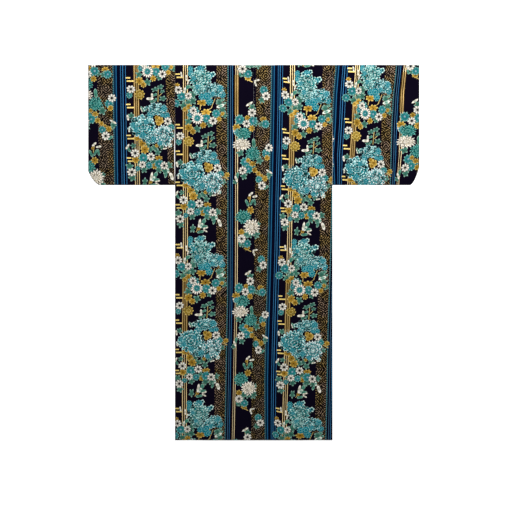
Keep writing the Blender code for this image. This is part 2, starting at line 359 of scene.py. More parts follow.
place("gold flower", (26, 37.8, 5.4, 3.6, 0), (13, 42, 3.6), (9, 44.5, 2.6), (30, 47.5, 5.6, 3.8, 0),
      (33.5, 33.5, 3), (43.3, 54.2, 2.8), (27.3, 60.3, 3.4), (13, 62.8, 4.6), (17, 66.5, 3.4),
      (32.8, 102.5, 4.8), (46.5, 49, 2.4), (10.5, 120.5, 4.8, 2.6, 0), (15, 125.6, 4.4),
      (17.5, 131.3, 4.8), (31.5, 139.8, 4.4, 2.6, 0), (8, 141.6, 4), (27, 148, 3.2), (51.3, 110, 3),
      (1.5, 20.5, 2.6), (29.5, 127.5, 2), (22.8, 163.6, 2))
place("white petal", (5.6, 9.8, 3, 1.4, 100), (10.6, 13, 3.2, 1.5, 95), (12.4, 17, 2.8, 1.3, 70),
      (9, 25.5, 3.6, 1.6, 80), (25.8, 77.6, 2.8, 1.7, 95), (23.6, 80.6, 4.3, 2.1, 2),
      (23.7, 158.4, 4.8, 2.1, 80), (29.8, 163, 2.8, 1.4, 15), (29.6, 165.8, 2.6, 1.2, -30),
      (43.9, 158.2, 4.4, 2.8, 110))
place("pale leaf", (25.6, 160.6, 3, 2, 60), (40.6, 152.4, 2.6, 2, 100), (44.6, 41.2, 4.6, 2.8, 20))
place("white petal", (1.4, 99.5, 3, 1.6, 100), (0.8, 128.5, 3.2, 1.6, 60), (14.6, 91.6, 2.6, 0.9, 110))
print("motifs so far:", len(MOTIFS))

# %% Curled petals that reach out from behind the full flowers
place("curl", (28, 2.2, 2.4), (37, 9.4, 3), (20.6, 4.4, 2.4), (3.4, 110.6, 2.6), (18.4, 90.6, 2.4),
      (43.2, 127, 2.4))
print("motifs so far:", len(MOTIFS))

# %% Chrysanthemums of the broad column
place("blue flower", (14.5, 4, 3.2), (24.5, 4, 3.8), (15, 9, 3.4), (33.5, 11, 3.6))
place("spider kiku", (24.5, 14.5, 12.6, 11, 8), (27.5, 24.5, 12, 8, 0))
place("blue flower", (33.5, 36.6, 4), (26, 32, 3.6), (46.5, 30, 3.6))
place("ball kiku", (38, 25.5, 11.8, 8, 6))
place("blue flower", (31.5, 31.6, 4.4), (44.5, 23.4, 3.2), (21.5, 22, 2.6), (18, 13.5, 2.4), (37, 29, 2.6),
      (40.5, 97.4, 3.6), (23, 97.5, 3.8))
place("ball kiku", (30.5, 91, 12.6, 7.2, 0))
place("blue flower", (38, 90.3, 3.4), (36, 97, 2.2))
place("scale kiku", (24, 117.5, 11, 9, 0), (16, 108.5, 14.4, 13.2, 0))
place("gold flower", (33.4, 102.2, 4), (31.8, 105.2, 2.6), (30.4, 99.6, 2.4))
place("white flower", (41.5, 103, 4.3))
place("teal flower", (45, 109, 3.6))
place("pale kiku", (37, 117.5, 11.2, 12.4, 0))
place("blue flower", (9, 111.5, 3), (16, 117, 3), (26.5, 121, 3.2), (33, 125, 2.8), (19.5, 104, 2.6),
      (6, 106.5, 2.6))
place("white petal", (43, 127.5, 2.6, 1.3, 60), (38, 130.4, 2.4, 1.2, 10), (2.6, 112, 2.2, 1.1, 80))
print("motifs so far:", len(MOTIFS))

# %% Small flowers of the broad column
place("teal flower", (5.8, 31.6, 5), (0.4, 38.6, 4.2), (17.8, 46.8, 6.2), (14.5, 50, 3.6),
      (30.6, 53.6, 4.8), (40.2, 48.6, 4.6), (3, 77, 3, 3.6, 0), (16, 139.8, 5.2), (31.5, 145.6, 5),
      (21.5, 147, 4), (9.8, 150.5, 3))
place("white flower", (2.5, 25, 4.3), (12.7, 31.2, 3.8), (17.4, 45.8, 3.9), (37, 56, 4.5), (4.5, 71, 4.3),
      (7.6, 135, 4.5), (23.6, 138.5, 4.3), (36.8, 147.4, 4.3), (4.4, 154, 4.5), (14.8, 146.4, 3.8))
place("daisy", (21.4, 53.5, 6.5))
place("teal flower", (21.4, 53.3, 3.6))
place("gold kiku", (13.2, 76.4, 5.3))
print("motifs so far:", len(MOTIFS))

# %% The narrow column, behind its flowers
place("twig", (85, 109.5, 7.5, 0.6, -38), (75, 134, 3.4, 0.4, 80), (74, 41.5, 2.6, 0.4, 80),
      (73, 15.5, 4, 0.4, -25))
place("leaf", (78.2, 78.5, 5.2, 3.2, 95), (72, 138.3, 4, 2.4, 115), (76.6, 137.5, 3.8, 2.2, 60),
      (79.8, 137.2, 3.6, 2, 100), (61.6, 111, 4, 2.6, 75), (94.4, 110.8, 3.8, 2.8, 100),
      (64.5, 9.8, 2.8, 2, 110), (92, 122.6, 3.4, 2.6, 30))
place("sage leaf", (76.2, 42.6, 4.2), (70.5, 0.7, 4), (75, 0.2, 4), (82, 0.6, 4.2), (68.5, 9.8, 3.6),
      (86, 35.2, 3.8), (64.5, 88, 4.4), (84.5, 95.8, 4.6), (68.4, 111.4, 4), (82.5, 169, 4.4),
      (71.5, 169.6, 4.4), (62.5, 58, 3.6), (84, 159.5, 3), (95.4, 110, 3.2), (73.5, 60.5, 3.4),
      (80.5, 58.5, 3.4), (86, 59.5, 3.4), (63.5, 74, 3))
place("gold flower", (72, 13.4, 3.6, 2.6, 0), (71.7, 53, 2.8), (76.2, 63.6, 3.4),
      (60.8, 62.6, 4.6, 3.8, 0), (88, 54.3, 4, 2.8, 0))
place("white petal", (73.6, 39, 4.2, 1.7, 33), (81, 15.6, 3, 1.5, 10), (79.5, 19, 3, 1.5, 110),
      (95, 106.6, 4, 1.5, -30), (75.6, 129.2, 3, 1.8, 40), (80, 131.6, 3, 1.7, 10),
      (60.6, 114, 3.6, 1.8, 110), (58.6, 67.5, 2.6, 1.2, 110))
place("blue flower", (61.5, 67.5, 3.4))
print("motifs so far:", len(MOTIFS))

# %% Flowers of the narrow column
place("teal kiku", (67.6, 68.7, 9.2, 7.4, 0))
place("teal flower", (69.4, 97, 5.2), (76, 102.5, 4.6), (73.2, 104, 5), (91.1, 88.5, 4.6))
place("teal kiku", (77.6, 88.8, 8.6, 8, 0))
place("cream kiku", (66.2, 79.8, 10.2, 7.2, 0))
place("gold flower", (92.6, 93, 3.2), (77.2, 99, 3.8, 3, 0), (72.6, 95.6, 2.6), (79.4, 105.2, 3.2),
      (83.4, 108.6, 2.6), (90.6, 113.6, 3.4), (74, 133, 1.8), (75.6, 145.4, 4.2), (66.2, 167.6, 3.6),
      (86.8, 111.2, 2.4))
place("teal kiku", (68, 152.2, 9.4, 8.2, 0))
place("cream kiku", (76.8, 162.4, 9.8, 9.2, 0))
place("teal flower", (88, 25.2, 4.6), (64, 54.6, 5.2), (77.4, 56, 5), (90.3, 59.2, 4.6), (84, 114.6, 4),
      (72.2, 9, 4.6))
place("white flower", (66.4, 4.2, 4.8), (90.4, 31.2, 4.6), (76.2, 47.8, 4.5), (70.8, 58.8, 4.2),
      (94.2, 83, 4.4), (67.2, 105.6, 4.4), (87.4, 120.8, 4.6), (66.5, 174.3, 4.4))
print("motifs in one repeat:", len(MOTIFS))

# %% [markdown]
# ## Where the chart lies on each panel
# The cutter laid the bolt a little askew, and the cloth is a little stretched here and there, so the
# columns don't run dead straight. Each panel names where a few columns lie: their x in millimetres at
# some drops below the shoulder. Everything between is worked out from those.

# %% Panels
# Drops are millimetres below the shoulder. Columns give x in millimetres at each drop. Lower gives how
# many squares lower the print lies there than an even count of rows says.
Panel = namedtuple("Panel", "drops columns lower")
BODY_DROPS = (0, 150, 350, 540, 740, 960, 1120, 1285, 1450, 1530)
# The two body lengths meet in one seam, so they share the columns beside it
BESIDE_SEAM = {
    60.3: (-71.6, -72.2, -72.4, -72.8, -73, -74, -78, -81, -85, -87),
    80.0: (9, 9, 7, 5, 3, -1, -5, -9, -10, -11),
}
SEAM_LOWER = (0, 0, 0, 0, 0.7, 2.6, 5.6, 8.5, 13.9, 16.8)
PANELS = {
    "body_left": Panel(BODY_DROPS, {
        7.5: (-287, -287, -287, -287, -287, -289, -291, -291, -291, -291),
        40.5: (-152, -152, -152, -152, -153, -154, -157, -159, -160, -160),
        **BESIDE_SEAM,
    }, {
        30.0: (0, 0, 0, 0, 0, 0.5, 2.6, 5.5, 7.0, 9.3),
        62.0: SEAM_LOWER,
    }),
    "body_right": Panel(BODY_DROPS, {
        **BESIDE_SEAM,
        95.5: (72, 70, 66, 62, 58, 52, 47, 44, 45, 46),
        114.5: (149.8, 148.8, 145.9, 140.4, 136.8, 130.6, 126.5, 122, 117, 115),
        147.5: (281, 280, 277, 272, 268, 261, 256, 253, 249, 247),
    }, {
        96.0: SEAM_LOWER,
        114.0: (-1.5, -3.0, -2.0, -1.0, 0.5, 2.1, 4.7, 6.9, 9.4, 11.3),
    }),
    "sleeve_left": Panel((0, 490), {
        -27.0: (-639, -629), -11.5: (-575, -568), 7.5: (-488, -482), 40.5: (-360, -348),
    }, {0.0: (46.7, 46.7)}),
    "sleeve_right": Panel((0, 122, 245, 367, 490), {
        0.0: (384, 375, 369, 361, 358), 7.5: (416, 408, 401, 393, 382),
        52.5: (584, 571, 564, 561, 558), 60.3: (615, 603, 598, 594, 585),
    }, {0.0: (5.8, 5.8, 5.8, 5.8, 5.8), 60.0: (2.8, 2.8, 2.8, 2.8, 2.8)}),
}
print("panels with a chart of their own:", ", ".join(PANELS))

# %% Between the columns of a panel
# How far a panel's chart is run on past its outer columns, in metres
BEYOND = 0.2


@lru_cache(maxsize=None)
def knots_at(name, drop):
    """A panel's columns and lowering at one drop, run on past its outer columns."""
    panel = PANELS[name]
    cols = list(panel.columns)
    places = [np.interp(1000 * drop, panel.drops, reach) / 1000 for reach in panel.columns.values()]
    for end, neighbour, sign in ((0, 1, -1), (-1, -2, 1)):
        slope = (cols[end] - cols[neighbour]) / (places[end] - places[neighbour])
        far_place, far_col = places[end] + sign * BEYOND, cols[end] + sign * BEYOND * slope
        at = 0 if sign < 0 else len(cols)
        places.insert(at, far_place)
        cols.insert(at, far_col)
    lower = [np.interp(1000 * drop, panel.drops, count) for count in panel.lower.values()]
    return places, cols, list(panel.lower), lower


def chart_place(name, x, drop, under):
    """The chart's column and row at a point of a panel. Under a fold the rows run backwards."""
    places, cols, lower_cols, lower = knots_at(name, 0.0 if under else drop)
    col = np.interp(x, places, cols)
    rows = -drop / SQUARE if under else drop / SQUARE
    return col, rows + np.interp(col, lower_cols, lower)


def chart_of(name, under, first_column=-inf):
    """The chart of a panel's upper or under side, as add_layer asks for it."""
    def chart(x, y, column, row):
        col, down = chart_place(name, x, SHOULDER - y, under)
        return max(col, first_column), down
    return chart


print("column at the middle of the back:", round(chart_place("body_left", 0.0, 0.5, False)[0], 1))

# %% [markdown]
# ## Cutting and sewing
# A layer of cloth starts as a grid. Two layers are joined along a fold or a closed seam by bridging
# their edges, and the strip between them is pushed out a little, so that the fold is round and not
# sharp. Each vertex keeps its place on the printer's chart, and whether it is in the upper layer.

# %% Layers of cloth
CELL = 0.0055


def stations(stops, step=CELL):
    """The stops, with equal steps between them that are no longer than step."""
    places = [stops[0]]
    for start, end in zip(stops, stops[1:]):
        count = max(1, -int(-abs(end - start) // step))
        places += [between(start, end, k / count) for k in range(1, count + 1)]
    return places


def new_cloth():
    """A mesh whose vertices know their place on the chart and whether they are in the upper layer."""
    bm = bmesh.new()
    bm.verts.layers.float_vector.new("chart")
    bm.verts.layers.int.new("upper")
    return bm


def add_layer(bm, columns, rows, point, chart, upper):
    """A grid of cloth. point gives x and y, and chart gives the column and row of the print."""
    on_chart = bm.verts.layers.float_vector["chart"]
    is_upper = bm.verts.layers.int["upper"]
    grid = bmesh.ops.create_grid(bm, x_segments=len(columns) - 1, y_segments=len(rows) - 1, size=0.5)
    points = {}
    for vert in grid["verts"]:
        i = round((vert.co.x + 0.5) * (len(columns) - 1))
        j = round((vert.co.y + 0.5) * (len(rows) - 1))
        points[i, j] = vert
    for (i, j), vert in points.items():
        x, y = point(columns[i], rows[j])
        vert.co = (x, y, LAYER if upper else 0.0)
        vert[on_chart] = (*chart(x, y, columns[i], rows[j]), 0.0)
        vert[is_upper] = int(upper)
    return points


# %% Folds and closed seams
def join_layers(bm, upper, lower, indices):
    """A fold or a closed seam between two layers, rounded outwards."""
    edges = []
    for layer in (upper, lower):
        edges += [bm.edges.get((layer[a], layer[b])) for a, b in zip(indices, indices[1:])]
    bmesh.ops.bridge_loops(bm, edges=edges)
    return [bm.edges.get((upper[a], lower[a])) for a in indices]


def round_folds(bm, crossing):
    bmesh.ops.recalc_face_normals(bm, faces=bm.faces)
    middle = bmesh.ops.subdivide_edges(bm, edges=list(set(crossing)), cuts=1)["geom_inner"]
    bm.normal_update()
    for vert in [part for part in middle if isinstance(part, bmesh.types.BMVert)]:
        outward = Vector((vert.normal.x, vert.normal.y, 0.0)).normalized()
        vert.co += outward * FOLD_BULGE


# %% [markdown]
# Each face must know which motifs lie on it, because a shader can't search a long list. So the script
# looks that up once: a face keeps the topmost motifs that reach it, and each corner keeps its place
# within the motif, measured in the motif's own radii. The shader then draws only those.

# %% Copies of the motifs
# How far a face reaches from its middle, with room to spare and closely, in squares
FACE_REACH = 1.25 * CELL / SQUARE
CORNER_REACH = FACE_REACH / 1.5
# More than any motif reaches, in squares, and how much farther one reaches when it is turned
MOTIF_REACH = 30.0
TURNED_REACH = 1.2
# How far the hand-drawn outlines stray, in a motif's own radii
WOBBLE = 0.11
# Each copy of a motif gets its own seed, so no two have the same petals
NUMBER_STEP = 0.618
PLACE_STEP = 0.137


def motif_copies(cols, rows):
    """Every copy that may reach the given columns and rows, topmost first."""
    first, last = (cols.min() - MOTIF_REACH) // REPEAT_WIDTH, (cols.max() + MOTIF_REACH) // REPEAT_WIDTH
    for number, motif in reversed(list(enumerate(MOTIFS))):
        for across in range(int(first), int(last) + 1):
            col = motif.col + across * REPEAT_WIDTH
            start = motif.row + across * REPEAT_DROP
            top = int((rows.min() - MOTIF_REACH - start) // REPEAT_LENGTH)
            bottom = int((rows.max() + MOTIF_REACH - start) // REPEAT_LENGTH)
            for down in range(top, bottom + 1):
                yield motif, number, col, start + down * REPEAT_LENGTH


print("copies that may reach one repeat:", len(list(motif_copies(np.array([0, 107]), np.array([0, 170])))))


# %% Reading a mesh, and placing points within a motif
def read_all(items, name, kind=np.int32, width=1):
    """A value from each item of a mesh, or a row of values."""
    values = np.empty(width * len(items), dtype=kind)
    items.foreach_get(name, values)
    return values.reshape(-1, width) if width > 1 else values


def place_within(motif, col, row, points):
    """Where points of the chart lie within a motif, in its own radii."""
    turn = radians(motif.turn)
    right, up = points[..., 0] - col, row - points[..., 1]
    along = (right * cos(turn) + up * sin(turn)) / motif.half_width
    across = (up * cos(turn) - right * sin(turn)) / motif.half_height
    return along, across


# %% Writing the print onto a mesh
PRINT_LAYERS = 6


def write_print(mesh):
    """Fill the corner attributes print_0 and on: place in the motif, kind and seed."""
    chart = read_all(mesh.attributes["chart"].data, "vector", np.float32, 3)
    chart = chart[read_all(mesh.loops, "vertex_index")]
    starts = read_all(mesh.polygons, "loop_start")
    corners = starts[:, None] + np.arange(4)
    centre = chart[corners].mean(axis=1)
    layers = np.zeros((PRINT_LAYERS, len(mesh.loops), 4), dtype=np.float32)
    used = np.zeros(len(starts), dtype=np.int32)
    hidden = 0
    for motif, number, col, row in motif_copies(centre[:, 0], centre[:, 1]):
        kind = KINDS[motif.kind]
        reach = max(motif.half_width, motif.half_height) * TURNED_REACH + FACE_REACH
        near = np.abs(centre[:, 0] - col) < reach
        near &= np.abs(centre[:, 1] - row) < reach
        faces = np.nonzero(near & (used < PRINT_LAYERS))[0]
        if not len(faces):
            continue
        along, across = place_within(motif, col, row, centre[faces])
        if kind.scallop == 0.0:
            meets, covered = (
                (np.abs(along) < 1.0 + slack / motif.half_width)
                & (np.abs(across) < 1.0 + slack / motif.half_height)
                for slack in (CORNER_REACH, -CORNER_REACH))
        else:
            away = np.hypot(along, across)
            margin = CORNER_REACH / min(motif.half_width, motif.half_height) + WOBBLE / 2
            meets = away < 1.0 + margin
            covered = away < 1.0 - (kind.scallop + 0.5) / kind.rings - margin
        faces, covered = faces[meets], covered[meets]
        at = corners[faces]
        along, across = place_within(motif, col, row, chart[at])
        seed = 0.5
        if kind.petals > 2:
            seed = (NUMBER_STEP * (number + 1) + PLACE_STEP * round(col + row)) % 1.0
        same = [np.full_like(along, value) for value in (KIND_NUMBERS[motif.kind], seed)]
        layers[used[faces][:, None], at] = np.stack([along, across, *same], axis=-1)
        used[faces] += 1
        full = used[faces] >= PRINT_LAYERS
        hidden += int((full & ~covered).sum())
        used[faces[covered]] = PRINT_LAYERS
    for number, layer in enumerate(layers):
        attribute = mesh.attributes.new("print_%d" % number, "FLOAT_COLOR", "CORNER")
        attribute.data.foreach_set("color", layer.ravel())
    return hidden


# %% [markdown]
# A finished sheet gets its heights, its print and its thickness. Solidify is set so that the sheet
# lies around the surface through its middle, and the swells are far longer than the cloth is thick.

# %% Finishing a sheet
ABOVE_FLOOR = 0.0001


def new_object(name, data):
    made = bpy.data.objects.new(name, data)
    bpy.context.scene.collection.objects.link(made)
    return made


def finish_sheet(name, bm, lower_height, upper_height, shares):
    bmesh.ops.recalc_face_normals(bm, faces=bm.faces)
    mesh = bpy.data.meshes.new(name)
    bm.to_mesh(mesh)
    bm.free()
    spots = read_all(mesh.vertices, "co", np.float32, 3)
    upper = read_all(mesh.attributes["upper"].data, "value")
    x, y = spots[:, 0].astype(float), spots[:, 1].astype(float)
    # Only the vertices of a rounded fold lie between the two layers
    fold = (spots[:, 2] > 0.1 * LAYER) & (spots[:, 2] < 0.9 * LAYER)
    lower_z = lower_height(x, y) + LAYER_SHARES[shares[0]] * relief(x, y)
    upper_z = upper_height(x, y) + LAYER_SHARES[shares[1]] * relief(x, y)
    z = np.where(fold, (lower_z + upper_z) / 2, np.where(upper > 0, upper_z, lower_z))
    spots[:, 2] = z + CLOTH / 2 + ABOVE_FLOOR
    mesh.vertices.foreach_set("co", spots.ravel())
    hidden = write_print(mesh)
    mesh.shade_smooth()
    piece = new_object(name, mesh)
    wall = piece.modifiers.new("thickness", "SOLIDIFY")
    wall.thickness = CLOTH
    wall.offset = 0.0
    wall.solidify_mode = "NON_MANIFOLD"
    wall.nonmanifold_thickness_mode = "CONSTRAINTS"
    print(name, len(mesh.polygons), "faces; motifs left off a face:", hidden)
    return piece


# %% [markdown]
# ## The body lengths
# Back and front are one length of cloth. It is folded at the shoulder, and sewn to itself at the side
# from below the underarm opening to the hem. The two lengths meet in the centre-back seam.

# %% Body
# The left length is cut just past the first column, so the line before it stays off its edge
FIRST_COLUMN = 0.15


def make_body(side):
    neck = NECK_HALF_WIDTH + GAP / 2
    front_columns = stations([neck, BODY_HALF_WIDTH])
    back_columns = stations([GAP / 2, neck])[:-1] + front_columns
    rows = stations([FOLD, OVERLAP_TIP, SIDE_SEAM_TOP, COLLAR_END, HEM_STITCHES, HEM])

    def side_edge(y):
        return BODY_HALF_WIDTH if y > SIDE_SEAM_TOP else BODY_HALF_WIDTH - EDGE_INSET

    def back_point(column, y):
        share = (column - GAP / 2) / (BODY_HALF_WIDTH - GAP / 2)
        return side.sign * between(GAP / 2, side_edge(y), share), y

    def front_point(column, y):
        inner = (float(collar_seam(y)) if y > OVERLAP_TIP else OVERLAP_SEAM) + GAP / 2
        share = (column - neck) / (BODY_HALF_WIDTH - neck)
        return side.sign * between(inner, side_edge(y), share), y

    back_chart, front_chart = (
        chart_of("body_" + side.name, under, FIRST_COLUMN) for under in (False, True))
    bm = new_cloth()
    back = add_layer(bm, back_columns, rows, back_point, back_chart, True)
    front = add_layer(bm, front_columns, rows, front_point, front_chart, False)
    extra = len(back_columns) - len(front_columns)
    back = {(i - extra, j): vert for (i, j), vert in back.items()}
    last = len(front_columns) - 1
    crossing = join_layers(bm, back, front, [(i, 0) for i in range(last + 1)])
    sewn = [j for j, y in enumerate(rows) if y <= SIDE_SEAM_TOP]
    crossing += join_layers(bm, back, front, [(last, j) for j in sewn])
    round_folds(bm, crossing)
    front_height, front_share = FRONTS[side.name]
    return finish_sheet("cloth_body_" + side.name, bm, front_height, back_height, (front_share, "top"))


bodies = [make_body(side) for side in SIDES]

# %% [markdown]
# ## The overlap panels
# A narrow panel widens each front past the centre, so that the robe can be wrapped. It starts in a
# point where the collar leaves the front edge. It is cut from the same bolt, so its stripes run down.

# %% Overlap panels
OVERLAP_FIRST_COLUMN = {"left": 12.0, "right": 66.0}
OVERLAP_FIRST_ROW = {"left": 31.0, "right": 88.0}


def make_okumi(side):
    slant = (OVERLAP_TIP - COLLAR_END) / OVERLAP_WIDTH
    tip = OVERLAP_TIP - OVERLAP_TIP_WIDTH * slant
    rows = stations([tip, COLLAR_END, HEM_STITCHES, HEM])
    shares = stations([0.0, 1.0], CELL / OVERLAP_WIDTH)

    def point(share, y):
        return side.sign * between(OVERLAP_SEAM - GAP / 2, float(collar_seam(y)) + GAP / 2, share), y

    def chart(x, y, share, row):
        first_column, first_row = OVERLAP_FIRST_COLUMN[side.name], OVERLAP_FIRST_ROW[side.name]
        return first_column - side.sign * x / SQUARE, first_row + (SHOULDER - y) / SQUARE

    bm = new_cloth()
    add_layer(bm, shares, rows, point, chart, False)
    height, share = FRONTS[side.name]
    return finish_sheet("cloth_okumi_" + side.name, bm, height, height, (share, share))


okumi = [make_okumi(side) for side in SIDES]

# %% [markdown]
# ## The collar
# One straight band runs up one front edge, across the back of the neck and down the other. A straight
# band only turns a corner with a mitre, so its points are found between an outer and an inner line.

# %% Collar
COLLAR_FIRST_COLUMN = 13.5


def mitre(before, corner, after, width):
    """The point inside a corner where the band's inner lines meet."""
    first = (corner - before).normalized()
    second = (after - corner).normalized()
    inward = (first.orthogonal() + second.orthogonal()).normalized()
    return corner + inward * (width / inward.dot(first.orthogonal()))


def make_collar():
    edge = GAP / 2
    outer = [
        Vector((float(collar_seam(COLLAR_END)) - edge, COLLAR_END)),
        Vector((OVERLAP_SEAM - edge, OVERLAP_TIP)),
        Vector((NECK_HALF_WIDTH - edge, SHOULDER - CLOTH)),
    ]
    outer += [Vector((-spot.x, spot.y)) for spot in reversed(outer)]
    inner = [mitre(*triple, COLLAR_WIDTH) for triple in zip(outer, outer[1:], outer[2:])]
    inner.insert(0, outer[0] + (outer[1] - outer[0]).normalized().orthogonal() * COLLAR_WIDTH)
    inner.append(outer[-1] + (outer[-1] - outer[-2]).normalized().orthogonal() * COLLAR_WIDTH)
    lengths = [(end - start).length for start, end in zip(outer, outer[1:])]
    rows = [0.0]
    for k, length in enumerate(lengths):
        rows += stations([k, k + 1], CELL / length)[1:]
    shares = stations([0.0, 1.0], CELL / COLLAR_WIDTH)
    last = len(lengths) - 1

    def point(share, row):
        k = min(int(row), last)
        start = between(outer[k], inner[k], share)
        end = between(outer[k + 1], inner[k + 1], share)
        return tuple(between(start, end, row - k))

    def chart(x, y, share, row):
        k = min(int(row), last)
        along = sum(lengths[:k]) + lengths[k] * (row - k)
        return COLLAR_FIRST_COLUMN + share * COLLAR_WIDTH / SQUARE, along / SQUARE

    # The right leg and half of the neck climb onto the left front, and count as the upper layer
    bm = new_cloth()
    grid = add_layer(bm, shares, rows, point, chart, False)
    is_upper = bm.verts.layers.int["upper"]
    for (_, j), vert in grid.items():
        vert[is_upper] = int(rows[j] <= 2)
    heights = (left_front_height, right_front_height)
    return finish_sheet("cloth_collar", bm, *heights, ("floor", "middle")), sum(lengths)


collar, collar_length = make_collar()
print("length of the collar band, in m:", round(collar_length, 3))

# %% [markdown]
# ## The sleeves
# Each sleeve is one strip folded on top. It is sewn along its bottom, round the lower outer corner and
# up the wrist as far as the opening for the hand. At the body side it is open below the armhole.

# %% Sleeves
CORNER_STEPS = 9


def make_sleeve(side):
    inner = BODY_HALF_WIDTH + GAP
    bottom = SLEEVE_BOTTOM + EDGE_INSET
    arc_top = bottom + side.corner_height
    arc = [pi / 2 * k / CORNER_STEPS for k in range(1, CORNER_STEPS + 1)]
    rows = stations([FOLD, WRIST_END, arc_top])
    rows += [arc_top - side.corner_height * sin(angle) for angle in arc]
    shares = stations([0.0, 1.0], CELL / (CENTRE_TO_WRIST - inner))

    def outer_edge(y):
        if y > WRIST_END:
            return CENTRE_TO_WRIST
        drop = min(max((arc_top - y) / side.corner_height, 0.0), 1.0)
        # The corner is sewn half-way between a straight cut and a quarter of an oval
        cut = (drop + 1.0 - (1.0 - drop * drop) ** 0.5) / 2
        return CENTRE_TO_WRIST - EDGE_INSET - side.corner_width * cut

    def inner_edge(y):
        share = min(max((ARMHOLE_END - y) / (ARMHOLE_END - SLEEVE_BOTTOM), 0.0), 1.0)
        return inner + side.stand_off * sin(pi * share)

    def point(share, y):
        return side.sign * between(inner_edge(y), outer_edge(y), share), y

    back_chart, front_chart = (chart_of("sleeve_" + side.name, under) for under in (False, True))
    bm = new_cloth()
    upper = add_layer(bm, shares, rows, point, back_chart, True)
    lower = add_layer(bm, shares, rows, point, front_chart, False)
    last_column, last_row = len(shares) - 1, len(rows) - 1
    crossing = join_layers(bm, upper, lower, [(i, 0) for i in range(last_column + 1)])
    sewn = [(i, last_row) for i in range(last_column)]
    sewn += [(last_column, j) for j in range(last_row, -1, -1) if rows[j] <= WRIST_END]
    crossing += join_layers(bm, upper, lower, sewn)
    round_folds(bm, crossing)
    heights = (left_front_height, sleeve_back_height)
    return finish_sheet("cloth_sleeve_" + side.name, bm, *heights, ("floor", "top"))


sleeves = [make_sleeve(side) for side in SIDES]

# %% [markdown]
# ## Colours and nodes
# Colours are picked as sRGB hex values and turned to linear light once, here. One function adds a node:
# its kind may be followed by its mode, such as the sum that a Math node does, and its inputs are given
# in order or by name or number. Mix has its share at 0, and mixes numbers at 2 and 3 or colours at 6
# and 7.

# %% Colours
def linear(text):
    parts = [int(text[k:k + 2], 16) / 255 for k in (1, 3, 5)]
    return [part / 12.92 if part <= 0.04045 else ((part + 0.055) / 1.055) ** 2.4 for part in parts]


def opaque(text):
    return (*linear(text), 1.0)


print("white in linear light:", opaque("#ffffff"))

# %% One node at a time
MODES = {
    "Math": "operation", "VectorMath": "operation", "Mix": "data_type", "MapRange": "interpolation_type",
    "TexNoise": "noise_dimensions", "TexWhiteNoise": "noise_dimensions", "TexVoronoi": "voronoi_dimensions",
}


def add(tree, kind, *inputs, **settings):
    """Add a node. An input is a value, a socket, or a node whose first working output is meant."""
    kind, _, mode = kind.partition(" ")
    made = tree.nodes.new(kind if kind.startswith("NodeGroup") else "ShaderNode" + kind)
    if mode:
        settings[MODES[kind]] = mode
    for name, value in settings.items():
        setattr(made, name, value)
    named = inputs and isinstance(inputs[0], dict)
    for key, value in inputs[0].items() if named else enumerate(inputs):
        if isinstance(value, bpy.types.Node):
            value = next(socket for socket in value.outputs if socket.enabled)
        if isinstance(value, bpy.types.NodeSocket):
            tree.links.new(value, made.inputs[key])
        elif value is not None:
            made.inputs[key].default_value = value
    return made


# %% Groups and ramps
def new_group(name, given, results):
    """A node group with the given inputs and results, each a name and a kind of socket."""
    tree = bpy.data.node_groups.new(name, "ShaderNodeTree")
    for in_out, sockets in (("INPUT", given), ("OUTPUT", results)):
        for socket, kind in sockets.items():
            tree.interface.new_socket(socket, in_out=in_out, socket_type="NodeSocket" + kind)
    return tree


def fill_ramp(ramp, stops):
    """Give a colour ramp flat steps, from pairs of a position and four values."""
    ramp.color_ramp.interpolation = "CONSTANT"
    elements = ramp.color_ramp.elements
    elements.remove(elements[-1])
    for number, (position, values) in enumerate(stops):
        element = elements[0] if number == 0 else elements.new(position)
        element.position = position
        element.color = values
    return ramp


# %% [markdown]
# ## The printed motif
# This node group draws one motif from a place within it. The distance from the middle says which ring
# of petals, and the angle says which petal. Past a petal's rounded edge lies the next ring out, half a
# petal on. Four ramps hold the numbers and colours of each kind, read by the kind's number. A full
# flower has outer petals of uneven length, and is paler towards its top.

# %% Motif group
# What a ramp's 1 stands for
MOST_PETALS = 32
MOST_RINGS = 8
# With more petals than this it is no leaf, and with more rings a flower is full, or even crowded
LEAF_PETALS = 2.5
FULL_FLOWER_RINGS = 2.5
CROWDED_FLOWER_RINGS = 3.5
# The most that is cut off an outer petal, in rings
PETAL_CUT = 0.5
RAMPS = (
    lambda kind: (kind.petals / MOST_PETALS, kind.rings / MOST_RINGS, kind.scallop, kind.heart),
    lambda kind: (*linear(kind.petal_colour), kind.tip_width),
    lambda kind: (*linear(kind.tip_colour), kind.pointed),
    lambda kind: (*linear(kind.heart_colour), kind.gold),
)


